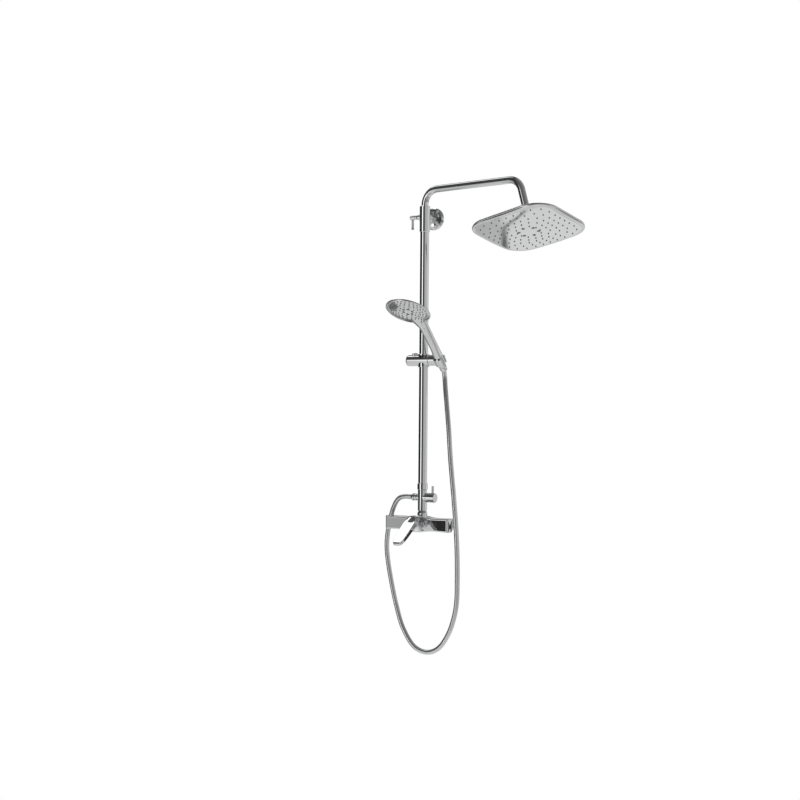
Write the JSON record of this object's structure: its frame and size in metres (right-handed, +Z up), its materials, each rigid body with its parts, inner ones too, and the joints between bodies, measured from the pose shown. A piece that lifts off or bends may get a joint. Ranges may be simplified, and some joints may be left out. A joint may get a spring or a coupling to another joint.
{
  "type": "wall-mounted shower column",
  "caption": "Wall-mounted shower column with lever mixer, diverter, sliding handset holder, flexible hose and a telescopic swivel arm carrying a square rain head.",
  "frame": {"origin": "on the wall plane, midway between the two water inlets, at the mixer's height", "axes": "+X to the right along the wall, +Y into the wall, +Z up along the riser"},
  "size_m": [0.5844, 0.3002, 1.262],
  "materials": {
    "chrome_brass": "polished chrome plate",
    "chrome_zinc": "polished chrome plate",
    "brass": "machined",
    "chromed_plastic": "chrome-plated gloss",
    "spray_plate": "bright gloss",
    "nozzle_rubber": "matt",
    "seal_rubber": "matt",
    "dark_plastic": "matt",
    "white_plastic": "matt",
    "steel_screw": "fine turned",
    "steel_base": "fine turned",
    "hose_skin": "ribbed silver gloss"
  },
  "bodies": {
    "column": {"wall_base": "steel_base", "wall_rosette": "chrome_zinc", "bracket_arm": "chrome_brass", "bracket_sleeve": "chrome_brass", "bracket_screw": "steel_screw", "riser_tube": "chrome_brass", "riser_collar": "chrome_brass", "diverter_body": "chrome_brass", "column_nut": "chrome_brass", "outlet_nipple": "brass", "mixer_body": "chrome_brass", "union_nuts": "chrome_brass", "inlet_washers": "seal_rubber", "non_return_valves": "white_plastic", "cartridge": "white_plastic", "cartridge_nut": "brass", "trim_ring": "chrome_zinc", "hose_nut_lower": "chrome_brass", "hose_left": "hose_skin", "hose_right": "hose_skin"},
    "diverter": {"diverter_knob": "chrome_zinc", "diverter_pin": "chrome_zinc", "diverter_spindle": "brass"},
    "arm_lock": {"lock_knob": "chrome_brass", "lock_pin": "chrome_zinc"},
    "arm_guide": {"guide_bush": "dark_plastic", "arm_seals": "seal_rubber"},
    "swivel_arm": {"shower_arm": "chrome_brass", "ball_stem": "chrome_brass"},
    "ball_seat": {"seat_ring": "dark_plastic"},
    "rain_head": {"ball_nut": "chrome_brass", "head_shell": "chromed_plastic", "head_face": "spray_plate", "head_nozzles": "nozzle_rubber"},
    "slider_guide": {"slider_bush": "dark_plastic", "hose_bush": "hose_skin"},
    "slider": {"slider_body": "chromed_plastic", "slider_cap": "chromed_plastic", "brake_pad": "seal_rubber", "button_spring": "steel_screw", "hose_slider": "hose_skin"},
    "button": {"release_button": "chromed_plastic"},
    "holder": {"holder_socket": "chromed_plastic", "holder_spindle": "brass", "hose_holder": "hose_skin"},
    "handset": {"handset_shell": "chromed_plastic", "handset_connector": "brass", "hose_nut_upper": "chrome_brass", "hose_handset": "hose_skin"},
    "spray_face": {"handset_face": "spray_plate", "handset_nozzles": "nozzle_rubber", "face_spindle": "brass"},
    "mixer_control": {"cartridge_rotor": "white_plastic", "rotor_pin": "brass"},
    "lever": {"lever_stem": "brass", "lever_cap": "chrome_zinc", "lever_handle": "chrome_zinc", "lever_screw": "steel_screw", "index_plug": "dark_plastic"}
  },
  "joints": [
    {"name": "diverter_turn", "type": "hinge", "parent": "column", "child": "diverter", "pos_m": [0.02, -0.052, 0.07], "axis": [1, 0, 0], "range_deg": [-90, 90]},
    {"name": "lock_turn", "type": "hinge", "parent": "column", "child": "arm_lock", "pos_m": [-0.03, -0.052, 0.828], "axis": [-1, 0, 0], "range_deg": [-90, 90]},
    {"name": "arm_lift", "type": "slide", "parent": "column", "child": "arm_guide", "axis": [0, 0, 1], "range_m": [0, 0.175]},
    {"name": "arm_swing", "type": "hinge", "parent": "arm_guide", "child": "swivel_arm", "pos_m": [0, -0.052, 0.62], "axis": [0, 0, 1], "range_deg": [-167, 10]},
    {"name": "head_turn", "type": "hinge", "parent": "swivel_arm", "child": "ball_seat", "pos_m": [0.32608, -0.088, 0.80387], "axis": [0.274, -0.0302, -0.9613], "range_deg": [-180, 180]},
    {"name": "head_tilt", "type": "hinge", "parent": "ball_seat", "child": "rain_head", "pos_m": [0.32608, -0.088, 0.80387], "axis": [0.994, -0.1097, 0], "range_deg": [-4, 26]},
    {"name": "slider_slide", "type": "slide", "parent": "column", "child": "slider_guide", "axis": [0, 0, 1], "range_m": [-0.25, 0.3], "deforming": ["hose_right"]},
    {"name": "slider_swivel", "type": "hinge", "parent": "slider_guide", "child": "slider", "pos_m": [0, -0.052, 0.44], "axis": [0, 0, 1], "range_deg": [-45, 45], "deforming": ["hose_bush"]},
    {"name": "button_press", "type": "slide", "parent": "slider", "child": "button", "axis": [0, 0, -1], "range_m": [0, 0.0025], "stiffness_N_per_m": 1500, "springref_m": -0.002, "deforming": ["button_spring"]},
    {"name": "holder_tilt", "type": "hinge", "parent": "slider", "child": "holder", "pos_m": [0.03, -0.052, 0.44], "axis": [1, 0, 0], "range_deg": [-30, 30], "deforming": ["hose_slider"]},
    {"name": "handset_lift", "type": "slide", "parent": "holder", "child": "handset", "axis": [0, -0.6691, 0.7431], "range_m": [0, 0.03], "deforming": ["hose_holder"]},
    {"name": "face_turn", "type": "hinge", "parent": "handset", "child": "spray_face", "pos_m": [0.051, -0.217, 0.561], "axis": [0, 0.4384, 0.8988], "range_deg": [-60, 60]},
    {"name": "lever_turn", "type": "hinge", "parent": "column", "child": "mixer_control", "pos_m": [0, -0.08386, 0.00261], "axis": [0, -0.9945, 0.1045], "range_deg": [-45, 45]},
    {"name": "lever_lift", "type": "hinge", "parent": "mixer_control", "child": "lever", "pos_m": [0, -0.08386, 0.00261], "axis": [-1, 0, 0], "range_deg": [0, 22]}
  ]
}
